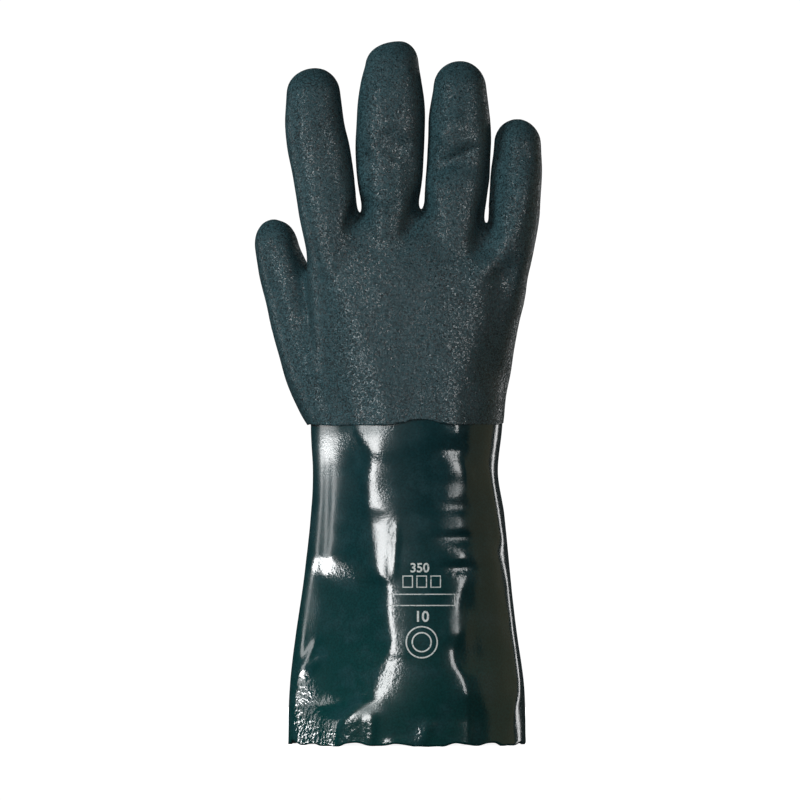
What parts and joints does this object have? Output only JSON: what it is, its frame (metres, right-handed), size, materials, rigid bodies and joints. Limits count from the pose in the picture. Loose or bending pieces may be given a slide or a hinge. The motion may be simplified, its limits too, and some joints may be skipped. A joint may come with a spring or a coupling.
{
  "type": "chemical-resistant glove",
  "caption": "Long right-hand chemical-resistant gauntlet: a gritty coated hand on a smooth glossy dipped cuff with a wavy trimmed rim, hollow, standing on its rim.",
  "frame": {"origin": "middle of the arm opening, on the plane that the cuff's rim stands on", "axes": "+Z from the arm opening up to the fingertips, -Y out of the back of the hand, +Y out of the palm, -X to the thumb's side"},
  "size_m": [0.1431, 0.0868, 0.35],
  "materials": {
    "smooth_pvc": "smooth glossy dipped coat, dark teal green",
    "gritty_pvc": "matte gritty grip coat, dark grey green"
  },
  "bodies": {
    "root": {"smooth_cuff": "smooth_pvc", "gritty_hand": "gritty_pvc"}
  },
  "joints": []
}
